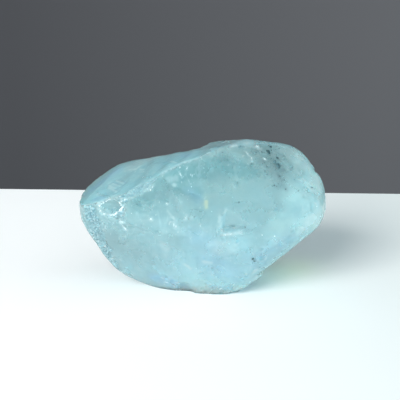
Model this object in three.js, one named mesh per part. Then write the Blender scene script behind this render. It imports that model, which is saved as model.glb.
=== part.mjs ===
// A rough crystal of blue topaz: one solid, broken on every side and a little water-worn.
// Millimetres, +Z up. The crystal lies on its resting face, its broad clear face towards -Y and its
// length along X. The origin is the middle of the bounding box's underside.
//
// The crystal is seen from a heart inside it. Each break took away the stuff that lay beyond all of
// the break's faces, each chip is a ball-shaped scoop, and the stone is what is left round the heart.
import * as THREE from "three";
import { ImprovedNoise } from "three/addons/math/ImprovedNoise.js";
import { mergeVertices } from "three/addons/utils/BufferGeometryUtils.js";

// ---- driving dimensions -------------------------------------------------------------------------

const HALF_LENGTH = 22.4; // the stone is 45 mm long
const HALF_DEPTH = 11.5;
const HALF_HEIGHT = 13.5;
const EDGE_WEAR = 0.7; // how softly the worn faces run into each other; the glassy ones meet sharply
const MESH_DETAIL = 18; // the ball that is shrunk onto the stone has 20 * 19 * 19 triangles
const SNAP_SHARE = 0.34; // a mesh corner nearer to a ridge than this share of an edge moves onto it
const SPLIT_SHARE = 0.06; // and one nearer than this share counts as lying on it
const RIDGE_STEPS = 24; // halvings that find where an edge of the mesh crosses a ridge
const SPLIT_PASSES = 3; // an edge may cross a ridge and then, past a narrow wall, another

const FLAT = Infinity;

// ---- relief: how far a point of a surface stands out of its plain form, in millimetres -----------

const turbulence = new ImprovedNoise();

// Soft lumps about one `size` across, from -1 to 1.
function lumps(point, size) {
  return turbulence.noise(point.x / size, point.y / size, point.z / size);
}

// Water-worn faces: a slow swell under a fainter, closer one.
function worn(point) {
  return 0.4 * lumps(point, 7) + 0.16 * lumps(point, 2.9);
}

// Glassy breaks: shell-like ribs round the point where the blow fell, and a slow swell.
const BLOW = new THREE.Vector3(-27, 3, 15);
const RIB_SPACING = 3.1;
function shelly(point) {
  const fromBlow = point.distanceTo(BLOW);
  const rib = Math.cos((2 * Math.PI * fromBlow) / RIB_SPACING + 1.2 * lumps(point, 6));
  return 0.09 * rib + 0.25 * lumps(point, 8);
}

// The sugary end: grains that stand side by side.
function sugary(point) {
  return 0.34 * lumps(point, 1.9) + 0.5 * lumps(point, 4.6);
}

function smooth() {
  return 0;
}

// ---- the breaks ---------------------------------------------------------------------------------
// A face: azimuth 0 faces -Y and 90 faces +X, tilt is above the horizon, both of the outward normal.
// out: its distance from the heart. crown: its radius of curvature, positive for a crowned face,
// negative for a dished one.

function face(azimuth, tilt, out, crown = FLAT) {
  return { azimuth, tilt, out, crown };
}

const BREAKS = [
  { name: "resting face", relief: smooth, edge: "sharp", faces: [face(0, -90, 12.4)] },
  { name: "clear face", relief: worn, edge: "worn", faces: [face(-5, 14, 10.4, 60)] },
  { name: "shell dish", relief: shelly, edge: "sharp", faces: [face(-69.5, 56.8, 13.6, -120)] },
  { name: "left facet", relief: shelly, edge: "sharp", faces: [face(-85, 55.6, 15.5)] },
  { name: "upper strip", relief: shelly, edge: "sharp", faces: [face(-91, 72, 13.0)] },
  { name: "blue facet", relief: shelly, edge: "sharp", faces: [face(-82, 69.3, 12.9)] },
  { name: "top, left", relief: shelly, edge: "sharp", faces: [face(-122.6, 74, 12.6)] },
  { name: "top, middle", relief: worn, edge: "worn", faces: [face(180, 70, 14.0)] },
  { name: "top, right", relief: worn, edge: "worn", faces: [face(162, 79.5, 15.4, 80)] },
  { name: "frosted bevel", relief: worn, edge: "worn", faces: [face(37, 53, 15.3, 120)] },
  {
    name: "step behind the dish",
    relief: shelly,
    edge: "sharp",
    faces: [face(175.4, 56.5, 10.7), face(-116, 29, 8.1)],
  },
  { name: "right shoulder", relief: worn, edge: "worn", faces: [face(100.4, 51.8, 20.9, 40)] },
  { name: "right end", relief: worn, edge: "worn", faces: [face(87, 20.6, 22.7, 14)] },
  { name: "right front bevel", relief: worn, edge: "worn", faces: [face(65.7, 0, 20.7, 60)] },
  {
    name: "undercut",
    relief: worn,
    edge: "worn",
    faces: [face(67.3, -50.7, 13.6, 240), face(88, 28.5, 4.4)],
  },
  { name: "right foot", relief: worn, edge: "worn", faces: [face(63, -50.3, 14.5, 90)] },
  { name: "left underside, low", relief: worn, edge: "worn", faces: [face(-62.4, -70, 15.9, 90)] },
  { name: "left underside, high", relief: worn, edge: "worn", faces: [face(-79, -36.4, 19.6, 90)] },
  { name: "sugary end", relief: sugary, edge: "worn", faces: [face(-51, -11.8, 21.6, 80)] },
  { name: "left tip", relief: sugary, edge: "worn", faces: [face(-99.5, 13, 23.8, 16)] },
  { name: "front left", relief: worn, edge: "worn", faces: [face(-11.8, -16.9, 10.2, 90)] },
  { name: "front foot", relief: worn, edge: "worn", faces: [face(11.2, -18.3, 13.0, 60)] },
  {
    name: "window",
    relief: smooth,
    edge: "sharp",
    faces: [face(-10, 4, 9.3), face(32, 0, 9.8), face(0, 42, 8.3)],
  },
  { name: "back", relief: worn, edge: "worn", faces: [face(176, 8, 10.8, 60)] },
  {
    name: "cleavage step in the back",
    relief: smooth,
    edge: "sharp",
    faces: [face(177, 7, 9.5), face(-131, -17, 5.2), face(152, 49, 5.9)],
  },
  { name: "back left", relief: worn, edge: "worn", faces: [face(-136.7, 18.7, 23.2, 120)] },
  { name: "back right", relief: worn, edge: "worn", faces: [face(132, 9.9, 18.8, 50)] },
  { name: "back foot", relief: worn, edge: "worn", faces: [face(178, -44, 13.6, 50)] },
];

// Ball-shaped chips. azimuth and tilt: where the chip lies, as seen from the heart.
const CHIPS = [
  { azimuth: -67, tilt: 12.2, radius: 2.4, depth: 0.75 }, // where the long ridge meets the sugary end
  { azimuth: -30, tilt: -55, radius: 2.6, depth: 0.25 },
  { azimuth: 34, tilt: -58, radius: 2.6, depth: 0.4 },
  { azimuth: 41, tilt: -16, radius: 1.1, depth: 0.3 },
  { azimuth: 92, tilt: 25, radius: 1.7, depth: 0.35 },
  { azimuth: 128, tilt: -6, radius: 5.0, depth: 0.55 },
  { azimuth: 168, tilt: -34, radius: 5.0, depth: 0.8 },
  { azimuth: -128, tilt: -20, radius: 4.8, depth: 0.45 },
  { azimuth: 150, tilt: 50, radius: 2.6, depth: 0.5 },
];

// ---- distances from the heart -------------------------------------------------------------------

function facing(azimuth, tilt) {
  const a = THREE.MathUtils.degToRad(azimuth);
  const t = THREE.MathUtils.degToRad(tilt);
  return new THREE.Vector3(Math.sin(a) * Math.cos(t), -Math.cos(a) * Math.cos(t), Math.sin(t));
}

// How far a ray from the heart runs to a face, which falls back from its plane by the square of the
// way along it. Infinity where the ray leads away from the face.
function faceReach({ azimuth, tilt, out, crown }) {
  const normal = facing(azimuth, tilt);
  return (direction) => {
    const lean = direction.dot(normal);
    const fall = (2 * out * (1 - lean * lean)) / crown;
    const distance = (2 * out) / (lean + Math.sqrt(lean * lean + fall));
    return distance > 0 ? distance : Infinity;
  };
}

// How far a ray from the heart runs to the near side of a ball.
function toBall(direction, centre, radius) {
  const along = direction.dot(centre);
  const reach = along * along - centre.lengthSq() + radius * radius;
  return reach < 0 || along < 0 ? Infinity : along - Math.sqrt(reach);
}

// A cut answers, for a ray, how far the stone reaches and which of the cut's faces ends it.
function breakCut({ name, relief, edge, faces }) {
  const reaches = faces.map(faceReach);
  const reach = (direction) => {
    const distances = reaches.map((faceDistance) => faceDistance(direction));
    const plain = Math.max(...distances);
    if (plain === Infinity) return { distance: Infinity, owner: name };
    const owner = name + distances.indexOf(plain);
    return { distance: plain + relief(direction.clone().multiplyScalar(plain)), owner };
  };
  return { edge, reach };
}

function chipCut({ azimuth, tilt, radius, depth }, breaks) {
  const outward = facing(azimuth, tilt);
  const surface = stoneAlong(outward, breaks).distance;
  const centre = outward.multiplyScalar(surface + radius - depth);
  const owner = "chip " + azimuth;
  return { edge: "sharp", reach: (ray) => ({ distance: toBall(ray, centre, radius), owner }) };
}

// How far the stone reaches along a ray, and which face ends it there. Worn faces are blended.
function stoneAlong(direction, cuts) {
  let sharp = { distance: Infinity, owner: "" };
  let first = { distance: Infinity, owner: "" };
  let blend = 0;
  for (const { edge, reach } of cuts) {
    const found = reach(direction);
    if (edge === "worn") {
      blend += Math.exp(-found.distance / EDGE_WEAR);
      if (found.distance < first.distance) first = found;
    } else if (found.distance < sharp.distance) sharp = found;
  }
  const blended = -EDGE_WEAR * Math.log(blend);
  return blended < sharp.distance ? { distance: blended, owner: first.owner } : sharp;
}

// ---- the mesh -----------------------------------------------------------------------------------

// Evenly spread directions from the heart, and the triangles that join them.
function directionMesh() {
  const ball = new THREE.IcosahedronGeometry(1, MESH_DETAIL);
  ball.deleteAttribute("normal");
  ball.deleteAttribute("uv");
  const merged = mergeVertices(ball);
  const position = merged.getAttribute("position");
  const directions = [];
  for (let i = 0; i < position.count; i++) {
    const direction = new THREE.Vector3().fromBufferAttribute(position, i);
    direction.multiply(new THREE.Vector3(HALF_LENGTH, HALF_DEPTH, HALF_HEIGHT));
    directions.push(direction.normalize());
  }
  return { directions, index: Array.from(merged.index.array) };
}

// Where the edge from a to b leaves the faces that a lies on: the share of the way, the direction
// there and the two faces that meet in it.
function ridgeBetween(a, b, ownersOfA, cuts) {
  let low = 0;
  let high = 1;
  let [before] = ownersOfA;
  let after = before;
  const direction = new THREE.Vector3();
  for (let step = 0; step < RIDGE_STEPS; step++) {
    const middle = (low + high) / 2;
    const { owner } = stoneAlong(direction.lerpVectors(a, b, middle).normalize(), cuts);
    if (ownersOfA.includes(owner)) {
      low = middle;
      before = owner;
    } else {
      high = middle;
      after = owner;
    }
  }
  return { share: high, direction: direction.lerpVectors(a, b, high).normalize(), owners: [before, after] };
}

function meshEdges(index) {
  const edges = new Map();
  for (let i = 0; i < index.length; i += 3) {
    for (let k = 0; k < 3; k++) {
      const a = index[i + k];
      const b = index[i + ((k + 1) % 3)];
      edges.set(Math.min(a, b) + "_" + Math.max(a, b), [Math.min(a, b), Math.max(a, b)]);
    }
  }
  return edges;
}

function crossesRidge(ownersOfA, ownersOfB) {
  return !ownersOfA.some((owner) => ownersOfB.includes(owner));
}

// Moves mesh corners that lie close to a ridge onto it, so that ridges come out unbroken.
function snapToRidges(directions, owners, index, cuts) {
  const moves = new Map();
  for (const [a, b] of meshEdges(index).values()) {
    if (!crossesRidge(owners[a], owners[b])) continue;
    const ridge = ridgeBetween(directions[a], directions[b], owners[a], cuts);
    const [corner, away] = ridge.share < 0.5 ? [a, ridge.share] : [b, 1 - ridge.share];
    if (away > SNAP_SHARE || (moves.has(corner) && moves.get(corner).away <= away)) continue;
    moves.set(corner, { away, ridge });
  }
  for (const [corner, { ridge }] of moves) {
    directions[corner] = ridge.direction;
    owners[corner] = ridge.owners;
  }
}

// Cuts each edge that still crosses a ridge, and the triangles beside it.
function splitAtRidges(directions, owners, index, cuts) {
  const splits = new Map();
  for (const [key, [a, b]] of meshEdges(index)) {
    if (!crossesRidge(owners[a], owners[b])) continue;
    const ridge = ridgeBetween(directions[a], directions[b], owners[a], cuts);
    if (Math.min(ridge.share, 1 - ridge.share) < SPLIT_SHARE) {
      const corner = ridge.share < 0.5 ? a : b;
      owners[corner] = [...owners[corner], ...ridge.owners];
      continue;
    }
    splits.set(key, directions.length);
    directions.push(ridge.direction);
    owners.push(ridge.owners);
  }
  const splitOf = (a, b) => splits.get(Math.min(a, b) + "_" + Math.max(a, b));
  const triangles = [];
  for (let i = 0; i < index.length; i += 3) {
    const corners = index.slice(i, i + 3);
    const middles = corners.map((corner, k) => splitOf(corner, corners[(k + 1) % 3]));
    const count = middles.filter((middle) => middle !== undefined).length;
    const turn = turnFor(middles, count);
    const [a, b, c] = [0, 1, 2].map((k) => corners[(k + turn) % 3]);
    const [ab, bc, ca] = [0, 1, 2].map((k) => middles[(k + turn) % 3]);
    if (count === 0) triangles.push(a, b, c);
    if (count === 1) triangles.push(a, ab, c, ab, b, c);
    if (count === 2) triangles.push(ab, b, bc, a, ab, bc, a, bc, c);
    if (count === 3) triangles.push(a, ab, ca, ab, b, bc, ca, bc, c, ab, bc, ca);
  }
  return triangles;
}

// Turns a triangle so that its uncut edges come last.
function turnFor(middles, count) {
  if (count === 1) return middles.findIndex((middle) => middle !== undefined);
  if (count === 2) return (middles.findIndex((middle) => middle === undefined) + 1) % 3;
  return 0;
}

function crystalGeometry() {
  const breaks = BREAKS.map(breakCut);
  const cuts = [...breaks, ...CHIPS.map((chip) => chipCut(chip, breaks))];
  const { directions, index } = directionMesh();
  const owners = directions.map((direction) => [stoneAlong(direction, cuts).owner]);
  snapToRidges(directions, owners, index, cuts);
  let triangles = index;
  for (let pass = 0; pass < SPLIT_PASSES; pass++) {
    triangles = splitAtRidges(directions, owners, triangles, cuts);
  }
  const points = directions.flatMap((direction) =>
    direction.clone().multiplyScalar(stoneAlong(direction, cuts).distance).toArray(),
  );
  const geometry = new THREE.BufferGeometry();
  geometry.setAttribute("position", new THREE.Float32BufferAttribute(points, 3));
  geometry.setIndex(triangles);
  geometry.computeBoundingBox();
  const { min, max } = geometry.boundingBox;
  geometry.translate(-(min.x + max.x) / 2, -(min.y + max.y) / 2, -min.z);
  geometry.computeVertexNormals();
  return geometry;
}

// ---- the object ---------------------------------------------------------------------------------

const topaz = new THREE.MeshStandardMaterial({
  color: 0x9ccfd6,
  roughness: 0.35,
  metalness: 0,
  transparent: true,
  opacity: 0.8,
});

const crystal = new THREE.Mesh(crystalGeometry(), topaz);
crystal.name = "crystal";

const stone = new THREE.Group();
stone.add(crystal);
export default stone;
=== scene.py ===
import math
import random

import bmesh
import bpy
from mathutils import Euler, Matrix, Vector, geometry, kdtree, noise
from mathutils.bvhtree import BVHTree


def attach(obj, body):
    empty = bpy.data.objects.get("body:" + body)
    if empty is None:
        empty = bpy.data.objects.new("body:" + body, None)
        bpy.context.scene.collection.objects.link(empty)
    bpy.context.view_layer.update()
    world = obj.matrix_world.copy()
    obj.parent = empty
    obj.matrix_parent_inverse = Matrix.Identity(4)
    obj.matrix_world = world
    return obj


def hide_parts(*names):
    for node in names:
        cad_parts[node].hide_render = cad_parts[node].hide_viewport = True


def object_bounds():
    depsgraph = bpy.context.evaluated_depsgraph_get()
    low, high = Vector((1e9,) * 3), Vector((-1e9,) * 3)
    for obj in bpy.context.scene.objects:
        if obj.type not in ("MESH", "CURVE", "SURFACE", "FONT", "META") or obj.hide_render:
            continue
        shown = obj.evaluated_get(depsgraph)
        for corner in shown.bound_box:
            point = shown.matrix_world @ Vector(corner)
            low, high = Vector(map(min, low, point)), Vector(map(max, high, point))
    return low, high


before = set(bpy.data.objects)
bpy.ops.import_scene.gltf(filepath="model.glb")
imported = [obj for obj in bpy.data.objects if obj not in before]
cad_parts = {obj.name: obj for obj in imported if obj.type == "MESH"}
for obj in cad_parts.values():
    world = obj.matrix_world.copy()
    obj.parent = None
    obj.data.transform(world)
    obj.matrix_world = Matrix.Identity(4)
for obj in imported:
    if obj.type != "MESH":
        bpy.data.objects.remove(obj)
cad_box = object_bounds()

# ---- The crystal --------------------------------------------------------------------------------
# One lump of natural pale blue topaz, see-through and hazy, with nothing fixed to it. Its outer
# faces are worn satin, the long break on top is glassy, and its left end is a crust of sugary
# grains. The skin is the solid's own, rounded by a subdivision and then chipped and pitted.

MM = 0.001
WELD = 0.002 * MM
CRYSTAL_LEVELS = 2
# An edge that stands out by more than this is a ridge. It is kept sharp, the more so the steeper.
RIDGE_ANGLE = math.radians(27)
LEAST_CREASE, FULL_CREASE_ANGLE = 0.45, math.radians(70)
RIDGE_STEP = 0.3  # mm between the points that mark out a ridge

skin = bmesh.new()
skin.from_mesh(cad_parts["crystal"].data)
bmesh.ops.remove_doubles(skin, verts=skin.verts, dist=WELD)
crease = skin.edges.layers.float.new("crease_edge")
ridge_points = []
for edge in skin.edges:
    angle = edge.calc_face_angle_signed(0.0)
    if abs(angle) > RIDGE_ANGLE:
        edge[crease] = min(1.0, LEAST_CREASE + abs(angle) / FULL_CREASE_ANGLE)
    if angle > RIDGE_ANGLE:
        start, end = (corner.co / MM for corner in edge.verts)
        steps = max(1, round((end - start).length / RIDGE_STEP))
        ridge_points += [start.lerp(end, i / steps) for i in range(steps + 1)]
crystal_mesh = bpy.data.meshes.new("topaz_crystal")
skin.to_mesh(crystal_mesh)
skin.free()
crystal = bpy.data.objects.new("topaz_crystal", crystal_mesh)
bpy.context.scene.collection.objects.link(crystal)
rounding = crystal.modifiers.new("rounding", "SUBSURF")
rounding.levels = rounding.render_levels = CRYSTAL_LEVELS
bpy.context.view_layer.objects.active = crystal
bpy.ops.object.modifier_apply(modifier="rounding")
crystal_mesh = crystal.data

ridges = kdtree.KDTree(len(ridge_points))
for i, point in enumerate(ridge_points):
    ridges.insert(point, i)
ridges.balance()


def marks(*stretches):
    """Marks on the skin, in mm: each runs between two places, reaches so far and is so strong."""
    return [(Vector(start), Vector(end), reach, strength)
            for start, end, reach, strength in stretches]


# Whitish marks: bruises, hairline cracks and milky veils, with painted highlights where the top of
# the ridge and some cracks catch the light, and painted light on the pale right rim.
PALE_MARKS = marks(
    ((-8.7, -8.7, 14.9), (-8.6, -8.7, 14.8), 0.55, 0.6),
    ((-4.8, -9.7, 14.6), (-4.6, -9.8, 13.7), 0.5, 0.3),
    ((-6.0, -9.1, 16.6), (-4.5, -9.7, 14.9), 0.3, 0.35),
    ((-2.7, -9.8, 16.0), (-2.8, -9.9, 15.2), 0.4, 0.4),
    ((-6.0, -8.7, 17.7), (-6.0, -8.7, 17.6), 0.3, 0.6),
    ((-4.8, -8.0, 20.8), (-4.7, -8.0, 20.7), 0.5, 0.5),
    ((-5.6, -7.0, 21.4), (-4.3, -7.3, 21.8), 0.8, 0.3),
    ((-3.9, -7.3, 22.9), (-3.4, -7.8, 22.0), 0.25, 0.3),
    ((-2.5, -7.2, 23.7), (-2.7, -7.4, 23.2), 0.25, 0.3),
    ((-6.8, -8.4, 10.2), (-6.4, -8.4, 9.3), 1.0, 0.35),
    ((-3.0, -8.1, 6.3), (-2.1, -8.0, 5.5), 0.4, 0.7),
    ((0.2, -9.5, 7.3), (1.6, -9.8, 7.2), 0.45, 0.5),
    ((2.6, -10.6, 10.6), (4.4, -10.7, 10.2), 2.4, 0.28),
    ((9.0, -9.4, 5.3), (9.4, -9.4, 5.8), 0.6, 0.5),
    ((-14.8, -6.4, 14.2), (-13.4, -7.3, 13.6), 0.35, 0.5),
    ((-13.7, -7.0, 12.9), (-12.9, -7.1, 11.8), 0.3, 0.5),
    ((-13.3, 1.6, 20.7), (-11.8, 0.1, 21.2), 0.4, 0.5),
    ((-11.8, 0.1, 21.2), (-11.2, 0.5, 21.7), 0.35, 0.5),
    ((-11.0, -0.6, 21.4), (-10.3, -1.3, 21.6), 0.3, 0.5),
    ((-10.9, -1.4, 21.2), (-10.2, -2.1, 21.4), 0.25, 0.35),
    ((-5.4, -3.5, 23.7), (-4.4, -5.2, 23.8), 0.3, 0.6),
    ((-16.6, -1.0, 18.3), (-15.8, -2.1, 18.4), 0.3, 0.5),
    ((-18.7, -1.8, 17.2), (-18.1, -2.8, 17.2), 0.25, 0.5),
    ((-9.6, 3.2, 22.4), (-8.7, 2.3, 22.7), 0.35, 0.6),
    ((5.0, -4.7, 26.6), (5.9, -3.9, 26.7), 0.5, 0.55),
    ((7.5, -4.8, 25.8), (8.0, -5.4, 25.2), 0.3, 0.6),
    ((8.4, -5.4, 25.1), (8.5, -6.1, 24.6), 0.25, 0.6),
    ((9.4, -2.2, 26.2), (9.9, -2.7, 25.9), 0.55, 0.7),
    ((10.8, -4.6, 24.5), (10.8, -4.7, 24.4), 0.35, 0.7),
    ((14.5, 0.3, 25.0), (18.0, -1.0, 22.8), 2.6, 0.2),
    ((17.5, -4.8, 20.4), (18.8, -5.2, 19.2), 1.0, 0.5),
    ((20.3, -3.2, 19.6), (19.9, -6.8, 14.4), 3.0, 0.45),
    ((16.9, -8.4, 20.0), (17.1, -8.8, 16.0), 0.3, 0.35),
    ((18.9, -8.4, 15.0), (17.0, -9.3, 12.6), 1.4, 0.35),
    ((2.7, -10.3, 17.2), (3.3, -10.7, 13.4), 0.4, 0.35),
    ((3.7, -10.9, 12.9), (6.6, -10.7, 13.2), 0.5, 0.5),
    ((1.0, 0.0, 26.0), (6.5, -1.0, 26.8), 4.5, 0.3),
    ((-12.6, -6.9, 18.3), (-8.7, -7.1, 20.3), 0.9, 0.4),
    ((-13.0, 2.5, 21.6), (-3.0, 3.5, 24.2), 2.4, 0.35),
)
# Smoky marks: the greyish cloud on the right shoulder, then stained cracks, smudges and hollows.
SHOULDER_CLOUD = marks(
    ((9.6, -2.4, 26.0), (13.6, -0.6, 25.0), 1.9, 0.35),
    ((12.5, -2.0, 24.9), (14.6, -2.0, 24.0), 1.6, 0.35),
    ((10.1, -5.4, 24.3), (11.9, -5.9, 23.1), 1.6, 0.5),
    ((11.9, -5.9, 23.1), (13.0, -7.0, 21.8), 1.8, 0.6),
    ((13.0, -7.0, 21.8), (13.6, -7.8, 20.4), 1.2, 0.6),
    ((12.5, -4.2, 23.9), (13.6, -5.0, 22.9), 1.7, 0.55),
)
SMOKY_MARKS = SHOULDER_CLOUD + marks(
    ((13.1, -2.8, 24.2), (13.2, -2.8, 24.1), 0.45, 0.9),
    ((12.7, -4.1, 23.8), (13.2, -4.6, 23.3), 0.5, 0.9),
    ((11.0, -7.3, 22.4), (11.0, -7.4, 22.3), 0.5, 0.7),
    ((12.8, -7.9, 20.9), (12.6, -8.0, 20.5), 0.65, 0.8),
    ((14.2, -7.9, 20.1), (14.2, -7.9, 19.9), 0.6, 0.7),
    ((11.1, -6.0, 23.4), (11.0, -6.1, 23.3), 0.5, 0.7),
    ((15.3, -4.2, 22.3), (15.8, -3.2, 22.6), 0.35, 0.7),
    ((10.1, -5.4, 24.3), (10.6, -6.1, 23.6), 0.25, 0.7),
    ((6.3, -4.2, 26.5), (7.2, -3.6, 26.4), 0.35, 0.9),
    ((8.4, -4.6, 25.5), (9.5, -3.9, 25.4), 0.4, 0.8),
    ((8.4, -6.7, 24.1), (8.4, -6.8, 24.0), 0.4, 0.7),
    ((3.5, -6.2, 26.0), (3.5, -6.3, 25.9), 0.4, 0.6),
    ((4.2, -7.0, 24.9), (4.7, -6.6, 25.3), 0.35, 0.5),
    ((5.9, -8.6, 21.3), (5.8, -8.6, 21.2), 0.5, 0.4),
    ((19.1, -4.9, 19.4), (19.1, -5.0, 19.3), 0.4, 0.7),
    ((16.5, -7.2, 19.5), (16.5, -7.3, 19.4), 0.4, 0.5),
    ((3.2, -6.5, 25.7), (5.6, -6.9, 24.6), 1.5, 0.3),
    ((-9.5, -7.6, 18.6), (-5.5, -8.2, 19.0), 1.3, 0.32),
    ((-6.6, -7.3, 20.7), (-5.6, -7.6, 20.2), 0.35, 0.5),
    ((-4.6, -7.4, 21.6), (-4.5, -7.8, 20.8), 0.35, 0.5),
    ((-4.5, -8.6, 18.5), (-4.2, -9.0, 16.5), 0.9, 0.32),
    ((1.6, -8.2, 22.2), (4.2, -8.4, 21.8), 1.6, 0.25),
    ((4.2, -10.4, 14.2), (7.6, -10.6, 14.1), 0.5, 0.4),
    ((5.0, -10.3, 14.2), (5.2, -10.3, 14.1), 0.35, 0.7),
    ((5.6, -11.0, 12.4), (5.6, -11.0, 12.2), 0.35, 0.6),
    ((8.1, -10.9, 10.3), (8.2, -10.8, 10.1), 0.35, 0.5),
    ((8.7, -10.5, 8.4), (9.1, -10.4, 7.8), 0.45, 0.9),
    ((-14.0, -6.4, 10.5), (-9.5, -6.8, 6.0), 5.5, 0.25),
    ((-13.0, -7.3, 13.5), (-9.5, -8.4, 12.6), 0.3, 0.45),
    ((-18.5, -1.6, 17.3), (-16.0, -5.3, 17.6), 0.35, 0.5),
    ((-15.4, -5.5, 18.0), (-12.9, -5.9, 19.1), 0.3, 0.3),
    ((-11.6, -7.3, 17.4), (-10.6, -7.6, 17.2), 0.5, 0.3),
    ((-10.3, -3.8, 21.0), (-10.1, -4.0, 21.0), 0.35, 0.5),
    ((-9.6, -4.9, 21.2), (-9.4, -5.2, 21.2), 0.35, 0.55),
    ((-8.9, -5.4, 21.4), (-8.7, -5.6, 21.4), 0.3, 0.45),
)
# Colder blue places: the flat left facet, chips along the foot, and where the stone is clearest.
COOL_MARKS = marks(
    ((-20.0, 2.0, 17.0), (-15.5, 3.6, 19.7), 2.6, 0.75),
    ((-18.6, -3.4, 16.6), (-17.0, -4.4, 17.1), 1.3, 0.7),
    ((-8.2, -5.5, 2.4), (-5.0, -6.1, 1.5), 2.2, 1.0),
    ((-4.6, -6.1, 1.6), (-3.0, -5.6, 0.8), 1.1, 0.8),
    ((1.8, -7.5, 1.6), (4.8, -7.7, 1.6), 1.2, 0.7),
    ((-2.4, -4.0, 24.6), (-3.4, -1.8, 24.4), 1.5, 0.6),
    ((-1.0, -9.4, 12.0), (1.6, -9.9, 11.0), 3.4, 0.4),
    ((1.5, -9.5, 8.0), (5.0, -9.0, 5.0), 4.2, 0.4),
    ((9.0, -10.2, 7.5), (14.0, -10.2, 11.0), 3.2, 0.35),
    ((-2.0, -8.2, 19.6), (-0.6, -8.6, 18.6), 1.6, 0.4),
)
# Painted shade: a deeper teal on the faces below the long ridge and across the top of the front,
# which the soft box lights most.
PAINTED_SHADE_MARKS = marks(
    ((-4.0, -7.3, 22.4), (4.3, -7.5, 24.0), 2.8, 0.7),
    ((4.3, -7.5, 24.0), (8.2, -7.3, 23.3), 2.6, 0.65),
    ((-8.5, -7.2, 20.2), (-4.0, -7.3, 22.2), 2.4, 0.35),
    ((-3.5, -8.3, 20.2), (-1.0, -8.6, 19.6), 2.0, 0.6),
)
# The window, where the front is clearest and most even.
CALM_MARKS = marks(
    ((4.0, -8.8, 18.5), (13.5, -8.4, 17.5), 5.0, 1.0),
    ((6.0, -10.0, 15.0), (12.0, -10.0, 13.0), 3.5, 0.7),
)
# The one small yellow stain, under the top of the front.
RUST_MARKS = marks(
    ((0.7, -9.3, 18.3), (0.7, -9.5, 17.2), 0.5, 1.0),
    ((0.5, -9.1, 19.2), (0.8, -9.2, 18.9), 0.8, 0.2),
)
# Small shell-shaped chips along the foot and beside the ridge, with how deep they are as strength.
SHELL_CHIPS = marks(
    ((-7.9, -5.6, 2.4), (-7.6, -5.7, 2.4), 1.1, 0.15),
    ((-5.7, -6.2, 2.2), (-5.4, -6.3, 2.2), 1.2, 0.20),
    ((-3.6, -5.9, 1.7), (-3.3, -6.0, 1.7), 0.9, 0.12),
    ((2.3, -7.5, 1.6), (2.6, -7.5, 1.6), 1.0, 0.18),
    ((5.7, -7.9, 2.2), (5.9, -7.9, 2.2), 0.8, 0.2),
    ((9.4, -3.0, 25.8), (9.7, -2.8, 25.9), 0.8, 0.2),
    ((19.0, -8.2, 16.8), (19.1, -8.0, 17.2), 0.8, 0.18),
)
# The fan of short ribs where the scooped break meets the flat left facet: the two ends of each.
RIBS = (
    (Vector((-15.4, 0.1, 19.15)), Vector((-13.9, -2.3, 19.4))),
    (Vector((-16.1, -0.3, 18.75)), Vector((-14.5, -2.6, 19.0))),
    (Vector((-16.65, -0.4, 18.45)), Vector((-15.4, -2.4, 18.55))),
    (Vector((-16.7, -1.0, 18.25)), Vector((-15.05, -4.0, 18.45))),
)
# The round chip near the left end: the middle of its rim, its half width and half height, and
# where round it the rim is strongest, in radians.
CHIP_X, CHIP_Z = -15.8, 16.0
CHIP_HALF_WIDTH, CHIP_HALF_HEIGHT = 2.1, 1.35
CHIP_STRONGEST = -0.6
# The sugary belt round the left end lies left of a leaning line, which passes through this place.
BELT_X, BELT_Z, BELT_LEAN = -17.0, 9.9, 0.3
# The ragged sugary band under the long ridge: its two ends and its reach.
SUGAR_BAND = Vector((-13.6, -6.5, 18.2)), Vector((-8.6, -6.5, 21.2))
BAND_REACH = 1.1

# The relief, in mm: how deep each kind is cut into the skin, and how long or far apart it is.
EVEN_DEPTH = 0.03
WAVE_DEPTH, WAVE_LENGTH = 0.05, 2.1
GRIT_DEPTH, GRIT_LENGTH = 0.05, 0.9
BLUNT_DEPTH, NICK_DEPTH, BLUNT_REACH = 0.04, 0.32, 0.55
LONG_NICK, SHORT_NICK = 1.3, 0.5
COARSE_GRAIN, COARSE_GROOVE = 0.7, 0.16
FINE_GRAIN, FINE_GROOVE = 0.42, 0.12
RIM_HEIGHT = 0.16
PIT_SPACING, PIT_DEPTH = 2.3, 0.16
STEP_SPACING, STEP_LENGTH, STEP_DEPTH = 0.5, 5.0, 0.05
RIB_REACH, RIB_GROOVE, RIB_DEPTH = (0.05, 0.40), (0.5, 1.1), 0.10
SMOKY_GRIT, SMOKY_DEPTH = 0.4, 0.10
RESTING_HEIGHT = 0.25  # below this the resting face stays flat


def gap_to(point, start, end):
    """How far a point is from the straight stretch between two places."""
    _, share = geometry.intersect_point_line(point, start, end)
    return (point - start.lerp(end, min(1.0, max(0.0, share)))).length


def ease(value, low, high):
    """0 below low, 1 above high, and a soft slope between the two."""
    share = min(1.0, max(0.0, (value - low) / (high - low)))
    return share * share * (3 - 2 * share)


def marked(point, places, ragged=0.0, soft=0.7):
    """How strongly the strongest of these marks shows here. Ragged breaks up its edge."""
    strongest = 0.0
    for start, end, reach, strength in places:
        near = reach * 1.5 + abs(start.x - end.x)
        if strength > strongest and abs(point.x - (start.x + end.x) / 2) < near:
            gap = gap_to(point, start, end) * (1 + ragged)
            strongest = max(strongest, strength * ease(reach - gap, 0.0, soft * reach))
    return strongest


def rim_at(point):
    """The crushed rim of the round chip: widest and whitest low on its right."""
    across, up = (point.x - CHIP_X) / CHIP_HALF_WIDTH, (point.z - CHIP_Z) / CHIP_HALF_HEIGHT
    off = abs(math.hypot(across, up) - 1)
    side = 0.52 + 0.48 * math.cos(math.atan2(up, across) - CHIP_STRONGEST)
    front = ease(-3.8 - point.y, 0.0, 0.6)
    width = 0.06 + 0.12 * side
    return side * front * ease(width - off + 0.16 * noise.noise(point / 0.4), 0.0, 0.12)


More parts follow.
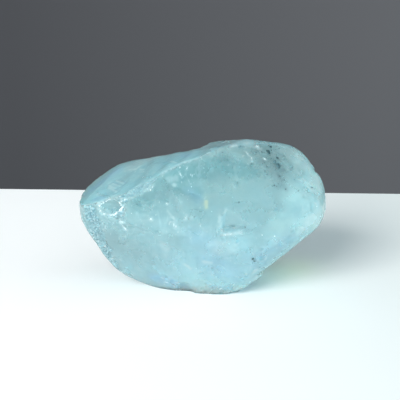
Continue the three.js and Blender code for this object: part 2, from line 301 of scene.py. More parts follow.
def sugar_at(point, normal):
    """How much of the skin is sugary crust: round the left end, and under the long ridge."""
    ragged = 0.7 * noise.noise(point / 1.6) + 0.5 * noise.noise(point / 0.6)
    turned = 0.55 + 0.24 * ease(point.z, 9.5, 12.5)
    belt = ease(BELT_X + BELT_LEAN * (BELT_Z - point.z) - point.x + ragged, -0.2, 0.5)
    belt *= ease(0.62 - normal.z, 0.0, 0.15)
    belt *= ease(-normal.y + 0.08 * ragged, turned - 0.05, turned + 0.05)
    band = ease(BAND_REACH + 0.8 * ragged - gap_to(point, *SUGAR_BAND), 0.0, 0.6)
    return max(belt, band * ease(0.65 - normal.z, 0.0, 0.15))


def groove_at(point, size):
    """Grains of this size that stand side by side: 0 on a grain, 1 in the groove round it."""
    (first, second, *_), _ = noise.voronoi(point / size)
    return 1 - ease(second - first, 0.0, 0.45)


def chips_at(point):
    """How deep the small shell-shaped chips are here. None reaches as far as 2 mm."""
    depth = 0.0
    for start, end, reach, scoop in SHELL_CHIPS:
        if abs(point.x - start.x) < 2:
            away = gap_to(point, start, end) * (1 + 0.5 * noise.noise(point / 0.9)) / reach
            depth += scoop * ease(1 - away, 0.0, 0.55) * (0.6 + 0.4 * ease(1.0 - away, 0.2, 1.0))
    return depth


moved = []
shares = {}
for vertex in crystal_mesh.vertices:
    # What the skin is like here: how near a ridge, and which kinds of skin and marks meet.
    point, normal = vertex.co / MM, vertex.normal.copy()
    _, _, gap = ridges.find(point)
    ragged = 0.35 * noise.noise(point / 0.45)
    rim = rim_at(point)
    sugar = sugar_at(point, normal)
    upper = ease(normal.z, 0.7, 0.8) * ease(-0.5 - point.x, -2, 2)
    glassy = upper * (1 - sugar)
    calm = marked(point, CALM_MARKS, 0.5 * ragged, 0.5)
    smoky = marked(point, SMOKY_MARKS, ragged)
    to_rib = min(gap_to(point, start, end) for start, end in RIBS)
    rib = 1 - ease(to_rib, *RIB_REACH)
    pale = max(marked(point, PALE_MARKS, ragged), 0.5 * rib)

    # The worn skin and its blunted, nicked ridges.
    rough = (1 - glassy) * (1 - 0.75 * calm)
    blunt = ease(BLUNT_REACH - gap, 0.0, 0.5)
    nick = max(0.0, noise.noise(point / LONG_NICK) + 0.1)
    nick += 0.5 * max(0.0, noise.noise(point / SHORT_NICK))
    depth = EVEN_DEPTH + WAVE_DEPTH * noise.noise(point / WAVE_LENGTH)
    depth += rough * (EVEN_DEPTH + GRIT_DEPTH * noise.noise(point / GRIT_LENGTH))
    depth += blunt * (BLUNT_DEPTH + NICK_DEPTH * nick) * (1 - rim)
    # The crushed grains of the sugary places and of the raised rim.
    grooves = COARSE_GROOVE * groove_at(point, COARSE_GRAIN)
    grooves += FINE_GROOVE * groove_at(point, FINE_GRAIN)
    depth += max(sugar, rim) * grooves
    depth -= RIM_HEIGHT * rim
    # Pits, fine steps across the scooped break, the grooves beside its ribs, chips and smudges.
    (pit, *_), _ = noise.voronoi(point / PIT_SPACING + Vector((3.1, 0.4, 7.7)))
    depth += rough * PIT_DEPTH * ease(0.2 - pit, 0.0, 0.14)
    steps = noise.noise(Vector((point.x / STEP_LENGTH, point.y / STEP_SPACING,
                                point.z / STEP_SPACING)))
    stepped = ease(normal.z, 0.6, 0.8) * ease(9.0 - point.x, 0.0, 3.0)
    depth += STEP_DEPTH * stepped * max(0.0, steps + 0.1)
    depth += RIB_DEPTH * (1 - ease(to_rib, *RIB_GROOVE)) * (1 - rib)
    depth += chips_at(point)
    depth += SMOKY_DEPTH * smoky * max(0.0, noise.noise(point / SMOKY_GRIT) + 0.2)
    if point.z < RESTING_HEIGHT:
        depth = 0.0
    moved.append(vertex.co - normal * depth * MM)

    # Painted shade in a deeper teal: the marked places, and a greyer stretch of the front under
    # the long ridge.
    uneven = noise.noise(point / 1.8)
    painted_shade = marked(point, PAINTED_SHADE_MARKS, 1.4 * ragged + 0.3 * uneven)
    painted_shade *= ease(0.75 - normal.z, 0.0, 0.15)
    grey = ease(7.0 + 2.0 * uneven - gap, 0.0, 5.0) * ease(-normal.y, 0.4, 0.7)
    grey *= ease(point.x, -14, -11) * ease(2.5 - point.x, 0.0, 5.0) * ease(point.z, 14, 17)
    here = {
        "sugar": max(sugar, rim),
        "wear": ease(0.45 - gap, 0.0, 0.4),
        "glassy": glassy * (1 - rim),
        "painted_shade": max(painted_shade, 0.52 * grey),
        "calm": calm,
        "pale": max(pale, 0.8 * rim),
        "smoky": smoky * (1 - rim),
        "cool": marked(point, COOL_MARKS, ragged, 1.0),
        "rust": marked(point, RUST_MARKS, ragged, 0.9),
        # Painted light: faces turned up or to the right are made paler.
        "painted_light_up_right": max(ease(normal.z, 0.82, 0.95), ease(normal.x, 0.4, 0.75)),
    }
    for name, share in here.items():
        shares.setdefault(name, []).append(share)
for vertex, place in zip(crystal_mesh.vertices, moved):
    vertex.co = place
for name, values in shares.items():
    layer = crystal_mesh.attributes.new(name, "FLOAT", "POINT")
    layer.data.foreach_set("value", values)
crystal_mesh.shade_smooth()


def bare_material(name):
    """An empty material, and the tree that the nodes made after it go into."""
    made = bpy.data.materials.new(name)
    made.use_nodes = True
    made.node_tree.nodes.clear()
    return made, made.node_tree


def part(kind, inputs=(), **settings):
    """A node of the material now being made, its settings, and what feeds or fills its sockets."""
    made = tree.nodes.new("ShaderNode" + kind)
    for name, value in settings.items():
        setattr(made, name, value)
    for socket, value in dict(inputs).items():
        if isinstance(value, bpy.types.NodeSocket):
            tree.links.new(value, made.inputs[socket])
        else:
            made.inputs[socket].default_value = value
    return made


def reshade(value, low, high, bottom=0.0, top=1.0):
    """Stretches a value from low..high to bottom..top, and holds it there."""
    return part("MapRange", {0: value, 1: low, 2: high, 3: bottom, 4: top}).outputs[0]


def both(a, b, how="MULTIPLY"):
    """Two values in one: their product, or their sum with ADD."""
    return part("Math", {0: a, 1: b}, operation=how).outputs[0]


def tinted(share, under, over):
    """The colour under, with this share of the colour over it."""
    return part("Mix", {0: share, 6: under, 7: over}, data_type="RGBA").outputs[2]


def cloud(place, size_mm, detail=3.0, roughness=0.55, twist=0.0):
    """A soft cloud whose lumps are about this size."""
    made = part("TexNoise", {"Vector": place, "Scale": 1 / (size_mm * MM), "Detail": detail,
                             "Roughness": roughness, "Distortion": twist})
    return made.outputs["Fac"]


SKY_BLUE = (0.55, 0.90, 0.99, 1)
AQUA = (0.37, 0.60, 0.64, 1)
GREEN_AQUA = (0.345, 0.56, 0.575, 1)
GREY_AQUA = (0.36, 0.58, 0.61, 1)
GLASSY_AQUA = (0.385, 0.685, 0.735, 1)
ICE = (0.66, 0.98, 1.00, 1)
PAINTED_LIGHT_PALE = (0.50, 0.88, 0.96, 1)
PAINTED_SHADE_TEAL = (0.17, 0.39, 0.42, 1)
DARK_MOTTLE = (0.31, 0.56, 0.61, 1)
PALE_MOTTLE = (0.62, 0.88, 0.93, 1)
COLD_BLUE = (0.40, 0.71, 0.94, 1)
SMOKE = (0.25, 0.39, 0.42, 1)
SOOT = (0.09, 0.19, 0.22, 1)
YELLOW_STAIN = (0.78, 0.88, 0.62, 1)
MILKY_AND_PAINTED_LIGHT = (0.80, 0.98, 1.00, 1)
RUBBED = (0.74, 0.95, 0.98, 1)
CRUMB_SHADE = (0.19, 0.40, 0.47, 1)
CRUMB_LIGHT = (0.50, 0.78, 0.84, 1)
DEEP_TINT = (0.2, 0.84, 0.95, 1)  # what light keeps as it passes through the stone
TOPAZ_IOR = 1.62
# The haze inside is drawn out upwards and leans a little. The sugary crust is of fine grains.
HAZE_LEAN, HAZE_STRETCH = math.radians(8), (1.5, 1.5, 0.6)
CRUST_GRAIN, CRUST_BUMP, SATIN_BUMP = 0.4 * MM, 0.14 * MM, 0.05 * MM

topaz, tree = bare_material("pale_blue_topaz")
place = part("TexCoord").outputs["Object"]
sideways, _, height = part("SeparateXYZ", {0: place}).outputs
upright = part("Mapping", {0: place, 2: (0.0, HAZE_LEAN, 0.0), 3: HAZE_STRETCH}).outputs[0]
amount = {name: part("Attribute", attribute_name=name).outputs["Fac"] for name in shares}

drift = reshade(cloud(place, 7.0, detail=4.0, twist=0.5), 0.3, 0.7, -4 * MM, 4 * MM)
rise = both(height, drift, "ADD")
along = both(sideways, drift, "ADD")
lively = reshade(amount["calm"], 0.0, 1.0, 1.0, 0.12)
mottle = cloud(upright, 2.4, detail=5.0, roughness=0.62, twist=0.8)
soot = reshade(cloud(place, 0.9, roughness=0.6), 0.60, 0.66)
flecks = reshade(cloud(upright, 0.6, detail=2.0), 0.66, 0.71, 0.0, 0.5)
crumbs = reshade(cloud(place, 0.3, detail=2.0), 0.42, 0.58)
crust = tinted(crumbs, CRUMB_SHADE, CRUMB_LIGHT)
# From a lighter clear sky blue at the foot, through aqua, to a greener and darker tone at the top:
# partly the stone's own tone, partly painted light at the foot and painted shade at the top. The
# left is greyer and darker, partly painted shade, and the right end paler with painted light. Over
# that lie the kinds of face, painted light and shade, the haze, marks and wear.
layers = (
    (reshade(rise, 3 * MM, 12 * MM), AQUA),
    (reshade(rise, 13 * MM, 23 * MM), GREEN_AQUA),
    # greyer and darker to the left: partly the stone's tone, partly painted shade
    (reshade(along, 1 * MM, -12 * MM, 0.0, 0.6), GREY_AQUA),
    # paler at the right end: painted light
    (reshade(along, 12 * MM, 20 * MM, 0.0, 0.8), ICE),
    (amount["glassy"], GLASSY_AQUA),
    # painted light on the faces turned up or to the right
    (both(amount["painted_light_up_right"], 0.5), PAINTED_LIGHT_PALE),
    # painted shade, a deeper teal
    (amount["painted_shade"], PAINTED_SHADE_TEAL),
    (both(lively, reshade(mottle, 0.42, 0.30, 0.0, 0.5)), DARK_MOTTLE),
    (both(lively, reshade(mottle, 0.55, 0.72, 0.0, 0.4)), PALE_MOTTLE),
    (both(amount["cool"], 0.7), COLD_BLUE),
    (both(amount["smoky"], 0.6), SMOKE),
    (both(soot, reshade(amount["smoky"], 0.15, 0.6, 0.0, 0.5)), SOOT),
    (both(amount["rust"], 0.65), YELLOW_STAIN),
    # whitish marks: partly milky veils and bruises, partly painted highlights and painted light
    (both(amount["pale"], 0.85), MILKY_AND_PAINTED_LIGHT),
    (both(amount["wear"], reshade(cloud(place, 0.9), 0.42, 0.62, 0.0, 0.5)), RUBBED),
    (both(lively, flecks), MILKY_AND_PAINTED_LIGHT),
    (both(amount["sugar"], 0.85), crust),
)
body = SKY_BLUE
for share, colour in layers:
    body = tinted(share, body, colour)

# Satin all over, glossier on the glassy breaks, duller where it is smoky or sugary.
roughness = reshade(cloud(place, 3.5, detail=4.0), 0.35, 0.65, 0.18, 0.32)
for name, finish in (("glassy", 0.22), ("smoky", 0.38), ("sugar", 0.42)):
    roughness = part("Mix", {0: amount[name], 2: roughness, 3: finish}).outputs[0]
fine = part("Bump", {"Strength": 0.5, "Distance": SATIN_BUMP, "Height": cloud(place, 0.5)})
grains = part("TexVoronoi", {"Vector": place, "Scale": 1 / CRUST_GRAIN}, feature="F1")
grain_bump = part("Bump", {"Strength": amount["sugar"], "Distance": CRUST_BUMP,
                           "Height": grains.outputs["Distance"], "Normal": fine.outputs[0]})

stone = part("BsdfPrincipled", {
    "Base Color": body, "Roughness": roughness, "IOR": TOPAZ_IOR, "Specular IOR Level": 0.4,
    "Transmission Weight": 0.50, "Subsurface Weight": 1.0, "Subsurface Scale": 7 * MM,
    "Subsurface Radius": (0.85, 1.0, 1.05), "Normal": grain_bump.outputs[0]})
soak = part("VolumeAbsorption", {"Color": DEEP_TINT, "Density": 20.0})
part("OutputMaterial", {"Surface": stone.outputs[0], "Volume": soak.outputs[0]})
crystal_mesh.materials.clear()
crystal_mesh.materials.append(topaz)

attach(crystal, "root")
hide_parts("crystal")

# ---- The sugary grains --------------------------------------------------------------------------
# Loose-looking crumbs of the same topaz, crushed white, that crust the left end, the rim of the
# round chip and the upper side of the front face. They are angular specks, half sunk in the skin.

CRUMB_COUNT = 2800
CRUMB_SIZES = 0.05, 0.13
CRUMB_SINK = 0.45
CRUSHED_SHADE = (0.24, 0.50, 0.57, 1)
CRUSHED_LIGHT = (0.58, 0.83, 0.88, 1)
CRUSHED_WHITE = (0.93, 1.00, 1.00, 1)
# Grains keep inside the solid's box by this much: at the sides, and above the table.
lowest = cad_box[0] + Vector((0.4, 0.4, 0.6)) * MM
highest = cad_box[1] - Vector((0.4, 0.4, 0.4)) * MM
luck = random.Random(7)


def inside(spot):
    """Whether a grain may sit here."""
    return all(low < at < high for low, at, high in zip(lowest, spot, highest))


def speck(gathered, spot, normal, size, sink):
    """An angular grain, its size in mm, on the skin here and sunk by a share of its size."""
    turned = Euler([luck.uniform(0, math.tau) for _ in range(3)]).to_matrix().to_4x4()
    squashed = Matrix.Diagonal([luck.uniform(0.6, 1.35) for _ in range(3)]).to_4x4()
    centre = Matrix.Translation(spot - normal * size * sink * MM)
    bmesh.ops.create_icosphere(gathered, subdivisions=1, radius=size * MM,
                               matrix=centre @ turned @ squashed)


def finished(gathered, name, material):
    """Makes one piece of what was gathered, and hands it its material."""
    mesh = bpy.data.meshes.new(name)
    gathered.to_mesh(mesh)
    gathered.free()
    mesh.materials.append(material)
    piece = bpy.data.objects.new(name, mesh)
    bpy.context.scene.collection.objects.link(piece)
    return piece


crust_spots = [i for i, share in enumerate(shares["sugar"])
               if luck.random() < share ** 2 and inside(crystal_mesh.vertices[i].co)]
crumb_shell = bmesh.new()
for i in luck.sample(crust_spots, min(CRUMB_COUNT, len(crust_spots))):
    vertex = crystal_mesh.vertices[i]
    speck(crumb_shell, vertex.co, vertex.normal, luck.uniform(*CRUMB_SIZES), CRUMB_SINK)
crushed, tree = bare_material("crushed_topaz")
place = part("TexCoord").outputs["Object"]
frost = tinted(reshade(cloud(place, 0.5), 0.38, 0.58), CRUSHED_SHADE, CRUSHED_LIGHT)
frost = tinted(reshade(cloud(place, 0.8), 0.58, 0.64), frost, CRUSHED_WHITE)
satin = reshade(cloud(place, 0.8), 0.4, 0.6, 0.18, 0.45)
glint = part("BsdfPrincipled", {"Base Color": frost, "Roughness": satin, "IOR": TOPAZ_IOR,
                                "Transmission Weight": 0.3})
part("OutputMaterial", {"Surface": glint.outputs[0]})
crumbs_piece = finished(crumb_shell, "sugary_grains", crushed)
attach(crumbs_piece, "root")

# ---- The bright slivers -------------------------------------------------------------------------
# Splinters of the same topaz, bruised white: the broken rim of the round chip and one long scratch
# below it, and single white splinters on the ridge, the front and the foot that are painted
# highlights, where the stone catches the light. They lie flush in the skin.

# From one end to the other, and how wide, in mm.
SLIVERS = (
    # The long scratch below the round chip.
    ((-13.65, -7.0, 12.8), (-13.0, -7.05, 12.0), 0.16),
    ((-14.3, -6.8, 14.2), (-13.7, -7.2, 13.6), 0.06),
    # The left and the middle of the front.
    ((-8.8, -8.7, 15.0), (-8.7, -8.7, 14.85), 0.20),
    ((-4.8, -9.7, 14.5), (-4.8, -9.8, 13.9), 0.10),
    ((-4.45, -9.85, 14.2), (-4.45, -9.9, 13.75), 0.10),
    ((-2.65, -9.8, 15.85), (-2.7, -9.9, 15.4), 0.06),
    ((-6.05, -8.65, 17.7), (-6.0, -8.65, 17.6), 0.10),
    # Where the sugary band ends, and just under the long ridge.
    ((-8.85, -7.2, 19.75), (-8.75, -7.3, 19.5), 0.17),
    ((-9.1, -6.9, 20.4), (-8.95, -7.0, 20.1), 0.10),
    ((-8.4, -7.1, 20.3), (-8.5, -7.2, 20.0), 0.10),
    ((-9.5, -7.0, 19.9), (-9.3, -7.1, 19.75), 0.10),
    ((-3.85, -7.3, 22.8), (-3.5, -7.7, 22.2), 0.04),
    ((-2.5, -7.25, 23.6), (-2.65, -7.35, 23.3), 0.04),
    # The top of the ridge by the right shoulder.
    ((10.7, -4.6, 24.5), (10.9, -4.65, 24.4), 0.26),
    ((9.4, -2.3, 26.2), (9.8, -2.45, 26.05), 0.15),
    ((5.1, -4.7, 26.6), (5.35, -4.5, 26.6), 0.11),
    ((5.7, -3.9, 26.75), (5.95, -3.9, 26.75), 0.11),
    ((7.5, -4.8, 25.75), (7.9, -5.3, 25.3), 0.06),
    ((8.35, -5.4, 25.1), (8.45, -5.9, 24.7), 0.06),
    # The right end.
    ((19.1, -8.3, 15.7), (19.15, -8.25, 15.35), 0.08),
    ((18.55, -8.6, 15.3), (18.6, -8.6, 15.2), 0.11),
    ((19.7, -7.6, 16.9), (19.7, -7.6, 16.75), 0.11),
    ((19.2, -8.1, 14.15), (19.2, -8.1, 14.0), 0.10),
    ((17.4, -3.2, 21.7), (17.35, -3.5, 21.5), 0.08),
    ((18.75, -4.1, 20.2), (18.8, -4.2, 20.1), 0.10),
    ((18.2, -5.5, 19.7), (18.35, -5.6, 19.6), 0.13),
    ((17.9, -6.1, 19.5), (17.95, -6.2, 19.4), 0.10),
    # Beside and below the window.
    ((12.15, -10.4, 12.45), (12.35, -10.4, 12.4), 0.25),
    ((10.05, -10.6, 12.75), (10.2, -10.6, 12.65), 0.14),
    ((12.75, -10.1, 10.3), (12.8, -9.95, 9.85), 0.07),
    # Low on the front, and the foot.
    ((-1.05, -8.3, 5.6), (-0.95, -8.3, 5.55), 0.10),
    ((3.0, -7.35, 1.1), (3.5, -7.55, 1.45), 0.10),
    ((5.4, -7.9, 2.0), (5.85, -8.05, 2.4), 0.10),
    ((-6.6, -6.1, 2.7), (-5.3, -6.35, 2.45), 0.08),
    # The ledge of the window, and the left end.
    ((5.2, -10.35, 13.95), (5.6, -10.4, 13.85), 0.08),
    ((-12.15, -7.6, 15.6), (-12.1, -7.6, 15.5), 0.08),
    ((-13.0, -6.0, 8.05), (-13.0, -5.95, 7.95), 0.09),
    ((-13.3, -6.7, 10.85), (-13.3, -6.7, 10.7), 0.08),
    ((3.8, -11.0, 12.9), (4.0, -11.0, 12.8), 0.12),
    ((3.2, -10.75, 13.9), (3.5, -10.85, 13.2), 0.10),
    ((4.6, -10.9, 13.0), (5.4, -10.8, 13.15), 0.06),
    # The foot, and the middle of the long scratch.
    ((-7.4, -5.7, 2.9), (-6.6, -5.9, 2.5), 0.07),
    ((-5.0, -6.2, 2.0), (-4.2, -6.1, 1.8), 0.07),
    ((-6.9, -5.7, 1.9), (-6.0, -5.8, 1.7), 0.07),
    ((-14.4, -6.7, 13.9), (-13.65, -7.0, 12.9), 0.05),
)
# The broken rim, from its top round the left and below to its right, and how wide a splinter is.
RIM = (
    ((-15.7, -5.5, 17.4), 0.07), ((-16.3, -5.3, 17.2), 0.09), ((-17.2, -5.2, 16.7), 0.10),
    ((-17.8, -5.2, 16.3), 0.12), ((-17.9, -5.3, 15.5), 0.12), ((-17.4, -5.5, 14.7), 0.12),
    ((-16.3, -5.8, 14.8), 0.16), ((-15.9, -5.9, 14.7), 0.20), ((-15.3, -6.0, 14.7), 0.22),
    ((-15.0, -5.8, 14.9), 0.20), ((-14.4, -5.8, 15.3), 0.25), ((-14.1, -5.9, 15.7), 0.32),
    ((-13.7, -6.5, 16.4), 0.34), ((-14.1, -5.8, 16.6), 0.28), ((-14.4, -5.7, 16.9), 0.16),
    ((-13.8, -6.6, 17.6), 0.14), ((-13.2, -6.7, 17.8), 0.12),
)
RIM_SPLINTERS = 4  # between two places of the rim
RIM_SCATTER, RIM_RUN, RIM_SKEW = 0.07, (0.12, 0.4), 0.10
RIM_WIDTHS = 0.5, 1.1
CHALK_SHADE = (0.76, 0.95, 0.98, 1)
CHALK_WHITE = (0.95, 1.00, 1.00, 1)

skin_tree = BVHTree.FromObject(crystal, bpy.context.evaluated_depsgraph_get())
sliver_shell = bmesh.new()


def sliver(start, end, width):
    """A splinter that lies in the skin from one place to another, in mm."""
    (first, *_), (last, *_) = (skin_tree.find_nearest(Vector(at) * MM) for at in (start, end))
    middle, normal, *_ = skin_tree.find_nearest((first + last) / 2)
    turned = (last - first).to_track_quat("X", "Z").to_matrix().to_4x4()
    half = Matrix.Diagonal(((last - first).length / 2 + width * MM / 3, width * MM / 2,
                            width * MM / 2, 1))
    seat = Matrix.Translation(middle - normal * 0.15 * width * MM)
    bmesh.ops.create_icosphere(sliver_shell, subdivisions=1, radius=1.0,
                               matrix=seat @ turned @ half)


def astray(spread):
    """A step of about this length in any direction."""
    return Vector([luck.gauss(0, spread) for _ in range(3)])


for start, end, width in SLIVERS:
    sliver(start, end, width)
for (start, width), (end, next_width) in zip(RIM, RIM[1:]):
    start, end = Vector(start), Vector(end)
    for _ in range(RIM_SPLINTERS):
        at = start.lerp(end, luck.random()) + astray(RIM_SCATTER)
        run = (end - start).normalized() * luck.uniform(*RIM_RUN) + astray(RIM_SKEW)
        sliver(at, at + run, luck.uniform(*RIM_WIDTHS) * (width + next_width) / 2)
# White matt splinters: real bruises and scratches, and painted highlights.
bruises_and_painted_glints, tree = bare_material("bruised_topaz_and_painted_glints")
place = part("TexCoord").outputs["Object"]
chalk = tinted(reshade(cloud(place, 0.5), 0.35, 0.55), CHALK_SHADE, CHALK_WHITE)
chalky = part("BsdfPrincipled", {"Base Color": chalk, "Roughness": 0.45})
part("OutputMaterial", {"Surface": chalky.outputs[0]})
slivers_piece = finished(sliver_shell, "bright_slivers", bruises_and_painted_glints)
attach(slivers_piece, "root")

# ---- The dark grains ----------------------------------------------------------------------------
# Tiny dark mineral grains caught in the skin: a loose swarm on the right shoulder, a few on the
# ledge of the window and by the foot. They grew in the stone, and sit half sunk in it.

# Where the larger ones lie, and their size, in mm.
DARK_GRAINS = (
    ((11.4, -2.2, 25.3), 0.36), ((12.1, -0.8, 25.6), 0.20), ((11.7, -0.7, 25.8), 0.10),
    ((11.7, -2.6, 25.0), 0.24), ((13.7, -0.1, 25.2), 0.12), ((13.2, 0.1, 25.4), 0.08),
    ((13.5, -1.5, 24.6), 0.08), ((14.3, -1.5, 24.2), 0.09), ((14.9, -2.0, 23.7), 0.08),
    ((13.1, -2.8, 24.2), 0.19), ((13.2, -4.6, 23.3), 0.36), ((12.7, -4.1, 23.8), 0.27),
    ((8.4, -6.7, 24.1), 0.10), ((8.3, -7.1, 23.8), 0.07), ((6.3, -4.2, 26.5), 0.12),
    ((6.8, -3.9, 26.5), 0.14), ((8.7, -4.4, 25.4), 0.11), ((9.3, -4.0, 25.4), 0.10),
    ((3.5, -6.2, 26.0), 0.11), ((4.2, -7.0, 24.9), 0.09), ((4.7, -6.6, 25.3), 0.07),
    ((11.0, -6.0, 23.4), 0.12), ((10.3, -5.8, 23.9), 0.08), ((11.0, -7.3, 22.4), 0.13),
    ((12.8, -7.9, 20.9), 0.11), ((12.6, -8.0, 20.5), 0.08), ((14.0, -6.8, 21.4), 0.14),
    ((14.2, -7.9, 20.0), 0.12), ((15.4, -4.1, 22.3), 0.09), ((15.7, -3.3, 22.5), 0.10),
    ((5.9, -8.6, 21.3), 0.08), ((5.1, -7.6, 23.7), 0.07), ((4.6, -8.4, 22.1), 0.07),
    ((6.2, -9.7, 18.2), 0.11), ((5.0, -10.3, 14.2), 0.13), ((5.4, -10.4, 14.1), 0.08),
    ((6.5, -10.6, 14.1), 0.08), ((7.2, -10.7, 14.1), 0.08), ((17.3, -4.1, 21.3), 0.09),
    ((19.1, -4.9, 19.4), 0.15), ((16.5, -7.2, 19.5), 0.11), ((5.6, -11.0, 12.3), 0.06),
    ((9.0, -10.4, 7.8), 0.20), ((8.7, -10.5, 8.3), 0.15), ((8.1, -10.9, 10.2), 0.08),
    ((-11.1, -7.5, 17.2), 0.09), ((-15.3, -5.9, 18.0), 0.08), ((-13.0, -6.6, 17.2), 0.08),
)
GRAINS_TOGETHER = 3  # each larger one is a clump of so many
GRAIN_SIZES, GRAIN_SINK = (0.95, 1.45), 0.5
STRAY_GRAINS = 90
STRAY_SIZE, STRAY_SPREAD, STRAY_SINK = 0.05, 0.12, 0.35
BLACKISH = (0.03, 0.08, 0.09, 1)
SLATE = (0.11, 0.22, 0.25, 1)

dark_shell = bmesh.new()
for spot, size in DARK_GRAINS:
    on_skin, *_ = skin_tree.find_nearest(Vector(spot) * MM)
    for _ in range(GRAINS_TOGETHER):
        at, normal, *_ = skin_tree.find_nearest(on_skin + astray(0.5 * size) * MM)
        speck(dark_shell, at, normal, luck.uniform(*GRAIN_SIZES) * size, GRAIN_SINK)
for _ in range(STRAY_GRAINS):
    start, end, reach, _ = luck.choice(SHOULDER_CLOUD)
    spot = start.lerp(end, luck.random()) + astray(0.6 * reach)
    on_skin, normal, *_ = skin_tree.find_nearest(spot * MM)
    if inside(on_skin):
        size = STRAY_SIZE + STRAY_SPREAD * luck.random() ** 3
        speck(dark_shell, on_skin, normal, size, STRAY_SINK)
dark, tree = bare_material("dark_mineral")
place = part("TexCoord").outputs["Object"]
sooty = tinted(reshade(cloud(place, 1.6), 0.4, 0.6), BLACKISH, SLATE)
worn = reshade(cloud(place, 0.3), 0.4, 0.6, 0.35, 0.6)
mineral = part("BsdfPrincipled", {"Base Color": sooty, "Roughness": worn})
part("OutputMaterial", {"Surface": mineral.outputs[0]})
dark_piece = finished(dark_shell, "dark_grains", dark)
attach(dark_piece, "root")

# ---- The table and the wall behind it -----------------------------------------------------------
# A smooth table top, painted a matt white, that ends a little behind the stone, and a plain wall
# of grey paper further back. The table's white is painted darker towards the right and the paper
# darker to the left: painted shade. Both are the stage, and no part of the stone.

TABLE_WIDTH, TABLE_DEPTH, TABLE_THICKNESS = 2.4, 1.2, 0.03
TABLE_BACK = 56 * MM
TABLE_TURN = math.radians(-2.4)
TABLE_ROUNDING = 1.5 * MM
# The white is painted darker towards the right: painted shade that deepens the stone's shadow
# there, and painted light that keeps the left as white as the front.
WHITE_WITH_PAINTED_LIGHT = (1.0, 1.0, 1.0, 1)
WHITE_IN_PAINTED_SHADE = (0.84, 0.88, 0.875, 1)

top = bmesh.new()
bmesh.ops.create_cube(top, size=1.0)
bmesh.ops.scale(top, verts=top.verts, vec=(TABLE_WIDTH, TABLE_DEPTH, TABLE_THICKNESS))
bmesh.ops.translate(top, verts=top.verts,
                    vec=(0, TABLE_BACK - TABLE_DEPTH / 2, -TABLE_THICKNESS / 2))
bmesh.ops.rotate(top, verts=top.verts, cent=(0, TABLE_BACK, 0),
                 matrix=Matrix.Rotation(TABLE_TURN, 3, "Z"))
bmesh.ops.bevel(top, geom=top.edges[:], affect="EDGES", offset=TABLE_ROUNDING, segments=4,
                profile=0.5, material=-1)
lacquer, tree = bare_material("white_matt_paint")
across = part("SeparateXYZ", {0: part("TexCoord").outputs["Object"]}).outputs[0]
white_with_painted_shade = tinted(reshade(across, -35 * MM, 40 * MM), WHITE_WITH_PAINTED_LIGHT, WHITE_IN_PAINTED_SHADE)
paint = part("BsdfPrincipled", {"Base Color": white_with_painted_shade, "Roughness": 0.8, "Specular IOR Level": 0.1})
part("OutputMaterial", {"Surface": paint.outputs[0]})
table = finished(top, "table_top", lacquer)
table.data.shade_smooth()

WALL_HALF_SIZE = 1.6
WALL_BEHIND = 0.7
# The grey paper is darker to the left and lighter to the right: painted shade and light.
PAPER_IN_PAINTED_SHADE = (0.072, 0.069, 0.075, 1)
PAPER_IN_PAINTED_LIGHT = (0.124, 0.119, 0.126, 1)

sheet = bmesh.new()
bmesh.ops.create_grid(sheet, x_segments=1, y_segments=1, size=WALL_HALF_SIZE)
bmesh.ops.rotate(sheet, verts=sheet.verts, cent=(0, 0, 0),
                 matrix=Matrix.Rotation(math.radians(90), 3, "X"))
bmesh.ops.translate(sheet, verts=sheet.verts, vec=(0, WALL_BEHIND, 0))
paper, tree = bare_material("grey_paper")
across = part("SeparateXYZ", {0: part("TexCoord").outputs["Object"]}).outputs[0]
grey = tinted(reshade(across, -0.2, 0.2), PAPER_IN_PAINTED_SHADE, PAPER_IN_PAINTED_LIGHT)
matt = part("BsdfPrincipled", {"Base Color": grey, "Roughness": 0.9})
part("OutputMaterial", {"Surface": matt.outputs[0]})
wall = finished(sheet, "grey_wall", paper)

# ---- The light and the camera -------------------------------------------------------------------
# One large soft box high at the front left, a low weak strip on the right, and a pale room that
# is brightest overhead and in front of the stone. The camera looks a little down on it.

# Where each stands: degrees right of the front and above the table, and how far off in metres.
SOFT_BOX_FROM, SOFT_BOX_AWAY = (-37, 31), 0.9
SIDE_BOX_FROM, SIDE_BOX_AWAY = (80, 8), 0.6
CAMERA_FROM, CAMERA_AWAY = (0, 18), 141.4 * MM
SOFT_BOX = {"size": (0.54, 0.40), "energy": 10.8, "colour": (1.0, 0.965, 0.945)}
SIDE_BOX = {"size": (0.5, 0.14), "energy": 2.3, "colour": (0.90, 0.98, 1.0)}
# The light that the stone lets through, which falls on the table beside its foot.
LET_THROUGH = {"size": (16 * MM, 5 * MM), "energy": 0.00011, "colour": (0.80, 1.0, 0.28)}
LET_THROUGH_AT = Vector((15.0, 1.5, 5.0)) * MM
LET_THROUGH_TURN = math.radians(48)
ROOM_COLOUR = (0.77, 0.94, 1.0, 1)

middle = (cad_box[0] + cad_box[1]) / 2


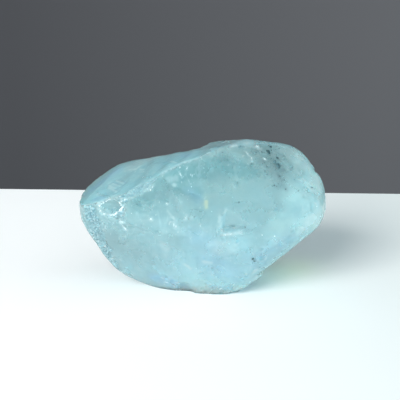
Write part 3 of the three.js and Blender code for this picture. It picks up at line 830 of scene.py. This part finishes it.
def toward(aside, up):
    """The direction so many degrees right of the front, and so many above the table."""
    aside, up = math.radians(aside), math.radians(up)
    return Vector((math.sin(aside) * math.cos(up), -math.cos(aside) * math.cos(up), math.sin(up)))


def lamp(name, place, turn, size, energy, colour):
    """A soft rectangular lamp, which shows neither in the gloss nor through the stone."""
    light = bpy.data.lights.new(name, "AREA")
    light.shape = "RECTANGLE"
    light.size, light.size_y = size
    light.energy = energy
    light.color = colour
    piece = bpy.data.objects.new(name, light)
    piece.location = place
    piece.rotation_euler = turn
    piece.visible_glossy = False
    piece.visible_transmission = False
    bpy.context.scene.collection.objects.link(piece)


def facing(direction):
    """The turn with which a lamp or a camera out in this direction looks back."""
    return direction.to_track_quat("Z", "Y").to_euler()


left = toward(*SOFT_BOX_FROM)
lamp("soft_box", middle + SOFT_BOX_AWAY * left, facing(left), **SOFT_BOX)
right = toward(*SIDE_BOX_FROM)
lamp("side_box", middle + SIDE_BOX_AWAY * right, facing(right), **SIDE_BOX)
lamp("light_let_through", LET_THROUGH_AT, (0, 0, LET_THROUGH_TURN), **LET_THROUGH)

room = bpy.data.worlds.new("pale_room")
room.use_nodes = True
tree = room.node_tree
tree.nodes["Background"].inputs[0].default_value = ROOM_COLOUR
_, ahead, overhead = part("SeparateXYZ", {0: part("TexCoord").outputs["Generated"]}).outputs
in_front = reshade(ahead, -1.0, 0.1, 0.66, 0.41)
above = reshade(overhead, 0.5, 1.0, 0.0, 0.25)
tree.links.new(both(in_front, above, "ADD"), tree.nodes["Background"].inputs[1])
bpy.context.scene.world = room
bpy.context.scene.view_settings.view_transform = "Standard"

FOCAL_LENGTH, SENSOR_WIDTH = 70, 36
LOOK_AT = Vector((-0.36, 0.78, 1.76)) * MM  # from the middle of the stone

lens = bpy.data.cameras.new("camera")
lens.lens, lens.sensor_width = FOCAL_LENGTH, SENSOR_WIDTH
lens.clip_start = 0.01
camera = bpy.data.objects.new("camera", lens)
bpy.context.scene.collection.objects.link(camera)
back = toward(*CAMERA_FROM)
camera.location = middle + LOOK_AT + CAMERA_AWAY * back
camera.rotation_euler = facing(back)
bpy.context.scene.camera = camera
